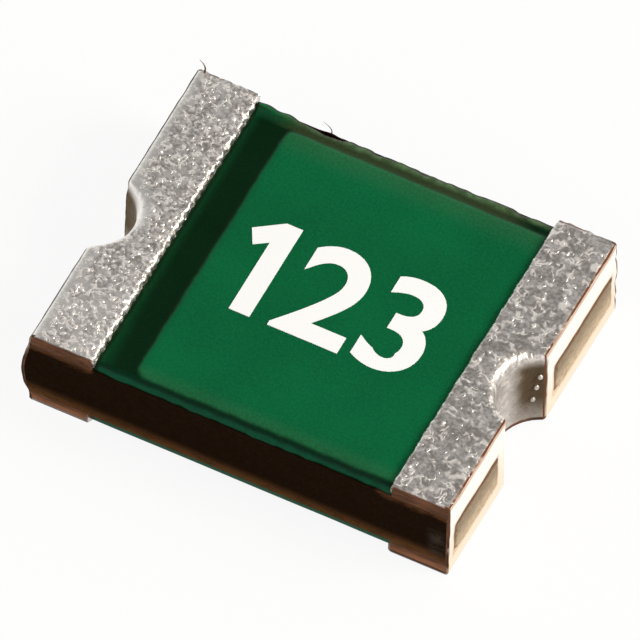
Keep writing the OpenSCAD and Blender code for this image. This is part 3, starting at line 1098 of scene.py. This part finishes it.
def grain_tree():
    """Geometry Nodes that stud the level faces of a tin sheet with low round grains."""
    numbers = ("Radius", "Spacing", "Stretch", "Height", "Sink", "Level")
    tree, given, result = new_group("GeometryNodeTree", "tin_grains", {
        "Sheet": "Geometry", **dict.fromkeys(numbers, "Float"), "Seed": "Int", "Material": "Material",
    }, {"Grains": "Geometry"})
    radius, seed = given["Radius"], given["Seed"]
    upright = axes(source(tree, "GeometryNodeInputNormal"))[2]
    level = math_node("GREATER_THAN", abs(upright), given["Level"])
    apart = radius * given["Spacing"]
    spread = add_node(tree, "GeometryNodeDistributePointsOnFaces", {
        "Mesh": given["Sheet"], "Selection": level, "Seed": seed, "Distance Min": apart * 0.5,
        "Density Max": 1.0 / (apart * apart)}, distribute_method="POISSON")
    ball = term("GeometryNodeMeshUVSphere", {"Segments": 10, "Rings": 6, "Radius": radius}, "Mesh")
    grain = term("GeometryNodeTransform", {
        "Geometry": ball, "Translation": combined(0.0, 0.0, radius * given["Sink"] * -1.0),
        "Scale": combined(1.0, 1.0, given["Height"])})
    vary = term("FunctionNodeRandomValue", {
        "Min": (0.5, 0.5, 0.5), "Max": combined(given["Stretch"], 1.1, 1.4), "Seed": seed},
        "Value", data_type="FLOAT_VECTOR")
    lean = term("FunctionNodeRandomValue", {
        "Min": (-0.25, -0.25, 0.0), "Max": (0.25, 0.25, 6.28), "Seed": seed},
        "Value", data_type="FLOAT_VECTOR")
    turn = term("FunctionNodeRotateRotation", {
        "Rotation": Term(spread["Rotation"]), "Rotate By": lean}, rotation_space="LOCAL")
    placed = term("GeometryNodeInstanceOnPoints", {
        "Points": Term(spread["Points"]), "Instance": grain, "Rotation": turn, "Scale": vary})
    whole = term("GeometryNodeRealizeInstances", {"Geometry": placed})
    smooth = term("GeometryNodeSetShadeSmooth", {"Geometry": whole})
    finish = term("GeometryNodeSetMaterial", {"Geometry": smooth, "Material": given["Material"]})
    set_inputs(result, {"Grains": finish})
    return tree


def evaluated_mesh(carrier):
    """Plain mesh that an object comes to, in place of the object."""
    bpy.context.scene.collection.objects.link(carrier)
    deps = bpy.context.evaluated_depsgraph_get()
    mesh = bpy.data.meshes.new_from_object(carrier.evaluated_get(deps))
    bpy.data.objects.remove(carrier)
    return mesh


def baked_nodes(name, mesh, tree, inputs):
    """Plain mesh that a Geometry Nodes tree makes from a mesh."""
    carrier = bpy.data.objects.new(name, mesh)
    modifier = carrier.modifiers.new(name, "NODES")
    modifier.node_group = tree
    for socket in tree.interface.items_tree:
        if socket.in_out == "INPUT" and socket.name in inputs:
            modifier[socket.identifier] = inputs[socket.name]
    result = evaluated_mesh(carrier)
    if not result.polygons:
        raise RuntimeError(f"the nodes of {name} made nothing")
    return result


def add_grains(end, name, points, faces, size):
    """Studs a terminal's level upper faces with grains of tin, away from its smooth rims."""
    shape = GRAIN_SHAPES[end]
    centre = points[faces].mean(1)
    along, across = np.abs(centre[:, 0]), centre[:, 1]
    studded = (along < HALF_L - shape["outer_rim"]) & (along > TIN_EDGE[end] + shape["inner_rim"])
    studded &= (across > -HALF_W + 0.02) & (across < HALF_W - 0.06) & (centre[:, 2] > CHIP_H / 2.0)
    sheet = bpy.data.meshes.new(f"{name}_grain_sheet")
    sheet.from_pydata(points.tolist(), [], faces[studded].tolist())
    tree = bpy.data.node_groups.get("tin_grains") or grain_tree()
    mesh = baked_nodes(f"{name}_grain_sheet", sheet, tree, {
        "Radius": size[f"{name}_grain"], "Spacing": shape["spacing"], "Stretch": shape["stretch"],
        "Height": 0.33, "Sink": 0.15, "Level": 0.8, "Seed": 5 + end,
        "Material": piece_material("frosted_tin")})
    finish_piece(f"{name}_tin_grains", mesh, "frosted_tin")


# The tin's grains at each end: spacing and greatest length in radii, and the smooth rims in millimetres
GRAIN_SHAPES = {
    -1: {"spacing": 3.4, "stretch": 1.5, "outer_rim": 0.10, "inner_rim": 0.03},
    1: {"spacing": 5.0, "stretch": 2.2, "outer_rim": 0.03, "inner_rim": 0.03},
}
# How much taller than wide a bead is
BEAD_STRETCH = 1.15
# Beads of tin on the wall of the right half hole: turn round it in degrees from the -X side, and height
BEADS = ((60.0, 0.51), (56.0, 0.395), (52.0, 0.265))
# Whiskers that the saw left: root, tip and bend in millimetres, and thickness at the root
WHISKERS = (
    ((-0.571, 1.255, 0.63), (-0.64, 1.268, 0.735), (0.035, 0.0, 0.01), 0.006),
    ((-1.532, 1.255, 0.735), (-1.575, 1.27, 0.845), (0.022, 0.0, 0.01), 0.009),
)


class FUSE_OT_beads(bpy.types.Operator):
    """Sets the small beads of tin on the wall of the right half hole"""

    bl_idname = "fuse.beads"
    bl_label = "Tin beads"

    def execute(self, context):
        size = sizes()
        shape = bmesh.new()
        for turn, height in BEADS:
            angle = math.radians(turn)
            x = size["hole_x"] - size["hole_r"] * math.cos(angle)
            y = size["hole_r"] * math.sin(angle) - size["hole_offset"]
            place = Matrix.Translation((x, y, height)) @ Matrix.Diagonal((1.0, 1.0, BEAD_STRETCH, 1.0))
            bmesh.ops.create_icosphere(shape, subdivisions=3, radius=size["bead_r"], matrix=place)
        finish_piece("tin_beads", freed_mesh(shape, "tin_beads"), "bead_tin")
        return {"FINISHED"}


class FUSE_OT_whiskers(bpy.types.Operator):
    """Adds the thin curled whiskers and the burr that the saw left along the back edge"""

    bl_idname = "fuse.whiskers"
    bl_label = "Saw burr and whiskers"

    def execute(self, context):
        points, faces = [], []
        for root, tip, bend, thickness in WHISKERS:
            ring_points, ring_faces = whisker(np.array(root), np.array(tip), np.array(bend), thickness)
            faces += [tuple(k + len(points) for k in face) for face in ring_faces]
            points += ring_points
        new_piece("saw_whiskers", points, faces, "sawn_copper")
        points, faces = burr_points(sizes())
        new_piece("saw_burr", points, faces, "carbon_core")
        return {"FINISHED"}


def burr_points(size):
    """Points and faces of a low ragged ridge on the core's upper back edge, where the saw tore it."""
    edge, top = HALF_W, CORE_HIGH[2]
    root = top - 0.01
    profile = [(edge - 0.03, root), (edge - 0.002, root), (edge - 0.004, top), (edge - 0.018, top)]
    points, faces = profile_sweep(profile, np.linspace(*TORN_X, 80))
    x, _, z = points.T
    ridge = np.sin(math.pi * (x - TORN_X[0]) / (TORN_X[1] - TORN_X[0]))
    run = np.stack([x, 0.0 * x, 0.0 * x], 1)
    lumps = np.clip(0.6 + 0.5 * ripples(run, 0.3, 91) + 0.4 * ripples(run, 0.14, 92), 0.1, 1.5)
    points[:, 2] += np.where(z > top - 0.005, size["burr"] * ridge * lumps, 0.0)
    return points, faces


def whisker(root, tip, bend, thickness):
    """A thin bent spike from a root to its tip."""
    sides, rings = 6, 9
    points = []
    for share in np.linspace(0.0, 1.0, rings):
        middle = root + (tip - root) * share + bend * math.sin(math.pi * share)
        radius = thickness * (1.0 - 0.85 * share)
        for k in range(sides):
            angle = 2.0 * math.pi * k / sides
            ring = (radius * math.cos(angle), radius * math.sin(angle), 0.0)
            points.append(tuple(middle + ring))
    return points, ring_faces(rings, sides)


class FUSE_OT_marking(bpy.types.Operator):
    """Prints plain digits on the upper mask"""

    bl_idname = "fuse.marking"
    bl_label = "Printed digits"

    def execute(self, context):
        size = sizes()
        middle = (len(DIGITS) - 1) / 2.0
        shape = bmesh.new()
        for k, digit in enumerate(DIGITS):
            shape.from_mesh(digit_mesh(digit, (k - middle) * size["digit_pitch"], size))
        finish_piece("printed_digits", freed_mesh(shape, "printed_digits"), "white_ink")
        return {"FINISHED"}


DIGITS = "123"
DIGITS_X = 0.05
DIGITS_Y = -0.01
# Outline of the digit 1 in shares of its height, because the built-in font draws it as a bare bar
ONE_OUTLINE = ((-0.04, -0.5), (0.15, -0.5), (0.15, 0.5), (0.0, 0.5), (-0.24, 0.33), (-0.16, 0.18),
               (-0.04, 0.26))


def digit_curve(digit, size):
    """Curve of one digit's outline."""
    if digit == "1":
        curve = bpy.data.curves.new("digit_1", "CURVE")
        curve.dimensions = "2D"
        outline = curve.splines.new("POLY")
        outline.points.add(len(ONE_OUTLINE) - 1)
        outline.points.foreach_set("co", [value for x, y in ONE_OUTLINE for value in (x, y, 0.0, 1.0)])
        outline.use_cyclic_u = True
        return curve
    curve = bpy.data.curves.new(f"digit_{digit}", "FONT")
    curve.body = digit
    curve.align_x = "CENTER"
    curve.resolution_u = 10
    curve.offset = size["stroke_w"] / 2.0 / size["digit_h"]
    return curve


def digit_mesh(digit, offset, size):
    """One printed digit as a thin slab on the mask, in millimetres."""
    curve = digit_curve(digit, size)
    curve.fill_mode = "BOTH"
    curve.extrude = 0.5
    mesh = evaluated_mesh(bpy.data.objects.new(curve.name, curve))
    points = np.array([v.co for v in mesh.vertices])
    low, high = points.min(0), points.max(0)
    points = (points - (low + high) / 2.0) * size["digit_h"] / (high[1] - low[1])
    points[:, 0] += DIGITS_X + offset
    points[:, 1] += DIGITS_Y
    top = points[:, 2] > 0.0
    points[:, 2] = COAT_HIGH[2] + np.where(top, size["ink_t"], -size["ink_t"])
    mesh.vertices.foreach_set("co", points.ravel())
    return mesh


class FUSE_OT_stage(bpy.types.Operator):
    """Sets up the floor, the soft lights, the white surroundings and the camera"""

    bl_idname = "fuse.stage"
    bl_label = "Stage"

    def execute(self, context):
        scene = context.scene
        scene.view_settings.view_transform = "Standard"
        make_floor(scene)
        make_world(scene)
        for light in LIGHTS:
            make_light(scene, *light)
        make_camera(scene)
        return {"FINISHED"}


# Name, direction from the part, distance and side in metres, power and colour
LIGHTS = (
    ("key_light", (0.78, 0.22, 0.62), 0.06, 0.030, 0.0330, (1.0, 0.93, 0.84)),
    ("front_light", (-0.35, -0.75, 0.60), 0.06, 0.045, 0.0035, (1.0, 0.98, 0.96)),
)
WHITE = (1.0, 1.0, 1.0, 1.0)
FLOOR_SIDE = 2.0
# Share of the floor's colour that shines white by itself where it is seen directly
FLOOR_GLOW = 0.9
VIEW_AZIMUTH = 24.9
VIEW_ELEVATION = 53.6
VIEW_ROLL = 2.2
PIXELS_PER_MM = 147.64
PICTURE_SIDE = 640
# Pixel of the photograph at which the middle of the chip's upper face lies
TOP_CENTRE_PIXEL = (323.2, 288.2)
CAMERA_DISTANCE = 0.05


def seen_directly(tree):
    """1 for rays from the camera, and for those that reach it by reflection or through glass."""
    path = add_node(tree, "ShaderNodeLightPath")
    return largest(*(Term(path[f"Is {kind} Ray"]) for kind in ("Camera", "Glossy", "Transmission")))


def make_floor(scene):
    """A pale floor that looks white and keeps a soft shadow."""
    half = FLOOR_SIDE / 2.0
    mesh = bpy.data.meshes.new("floor")
    mesh.from_pydata([(-half, -half, 0.0), (half, -half, 0.0), (half, half, 0.0), (-half, half, 0.0)], [],
                     [(0, 1, 2, 3)])
    material = bpy.data.materials.new("pale_floor")
    material.use_nodes = True
    tree = material.node_tree
    shader = tree.nodes["Principled BSDF"]
    set_inputs(shader, {"Base Color": colour("floor"), "Roughness": 0.9, "Specular IOR Level": 0.0})
    white = add_node(tree, "ShaderNodeEmission", {"Color": WHITE, "Strength": 1.0})
    surfaces = {1: Term(shader.outputs[0]), 2: Term(white[0])}
    mixed = term("ShaderNodeMixShader", {0: seen_directly(tree) * FLOOR_GLOW, **surfaces})
    set_inputs(tree.nodes["Material Output"], {"Surface": mixed})
    mesh.materials.append(material)
    floor = bpy.data.objects.new("floor", mesh)
    scene.collection.objects.link(floor)


def make_world(scene):
    """Soft light all round: white at the horizon and dim overhead."""
    world = bpy.data.worlds.new("studio")
    world.use_nodes = True
    tree = world.node_tree
    height = axes(source(tree, "ShaderNodeTexCoord", "Generated"))[2]
    strength = ramp(height, 0.1, 0.8, 1.0, 0.3)
    set_inputs(tree.nodes["Background"], {"Color": WHITE, "Strength": strength})
    scene.world = world


def make_light(scene, name, way, distance, side, power, tint):
    """A square soft light that points at the part."""
    lamp = bpy.data.lights.new(name, "AREA")
    lamp.shape = "SQUARE"
    lamp.size = side
    lamp.energy = power
    lamp.color = tint
    light = bpy.data.objects.new(name, lamp)
    place = Vector(way).normalized() * distance
    light.matrix_world = Matrix.Translation(place) @ place.to_track_quat("Z", "Y").to_matrix().to_4x4()
    light.visible_camera = False
    scene.collection.objects.link(light)


def make_camera(scene):
    """A parallel camera that frames the chip as the photograph does."""
    azimuth, elevation = math.radians(VIEW_AZIMUTH), math.radians(VIEW_ELEVATION)
    back = Vector((math.sin(azimuth) * math.cos(elevation), -math.cos(azimuth) * math.cos(elevation),
                   math.sin(elevation)))
    level = Vector((math.cos(azimuth), math.sin(azimuth), 0.0))
    roll = Matrix.Rotation(math.radians(VIEW_ROLL), 3, back)
    right = roll @ level
    up = back.cross(right)
    lens = bpy.data.cameras.new("camera")
    lens.type = "ORTHO"
    lens.ortho_scale = PICTURE_SIDE / PIXELS_PER_MM * MM
    lens.clip_start = 0.001
    lens.clip_end = 5.0
    camera = bpy.data.objects.new("camera", lens)
    across, down = (PICTURE_SIDE / 2.0 - pixel for pixel in TOP_CENTRE_PIXEL)
    middle = Vector((0.0, 0.0, CHIP_H * MM)) + (right * across - up * down) * MM / PIXELS_PER_MM
    turn = Matrix((right, up, back)).transposed().to_4x4()
    camera.matrix_world = Matrix.Translation(middle + back * CAMERA_DISTANCE) @ turn
    scene.collection.objects.link(camera)
    scene.camera = camera


class FUSE_PT_sidebar(bpy.types.Panel):
    """Lists the fuse chip's pieces, sizes and colours"""

    bl_idname = "FUSE_PT_sidebar"
    bl_label = "Fuse Chip"
    bl_space_type = "VIEW_3D"
    bl_region_type = "UI"
    bl_category = "Fuse Chip"

    def draw(self, context):
        layout = self.layout
        for operator in OPERATORS:
            layout.operator(operator.bl_idname)
        for group in (context.scene.fuse_sizes, context.scene.fuse_colours):
            column = layout.column(align=True)
            for name in type(group).__annotations__:
                column.prop(group, name)


OPERATORS = (FUSE_OT_core, FUSE_OT_foils, FUSE_OT_terminals, FUSE_OT_beads, FUSE_OT_whiskers, FUSE_OT_masks,
             FUSE_OT_marking, FUSE_OT_stage)
CLASSES = (FuseSizes, FuseColours, *OPERATORS, FUSE_PT_sidebar)


def register():
    """Registers the classes and hangs the sizes and colours on the scene."""
    for cls in CLASSES:
        bpy.utils.register_class(cls)
    bpy.types.Scene.fuse_sizes = bpy.props.PointerProperty(type=FuseSizes)
    bpy.types.Scene.fuse_colours = bpy.props.PointerProperty(type=FuseColours)


def unregister():
    """Takes everything off again."""
    del bpy.types.Scene.fuse_colours
    del bpy.types.Scene.fuse_sizes
    for cls in reversed(CLASSES):
        bpy.utils.unregister_class(cls)


def main():
    register()
    bpy.ops.fuse.core()
    bpy.ops.fuse.foils()
    bpy.ops.fuse.terminals()
    bpy.ops.fuse.beads()
    bpy.ops.fuse.whiskers()
    bpy.ops.fuse.masks()
    bpy.ops.fuse.marking()
    bpy.ops.fuse.stage()


if __name__ == "__main__":
    main()
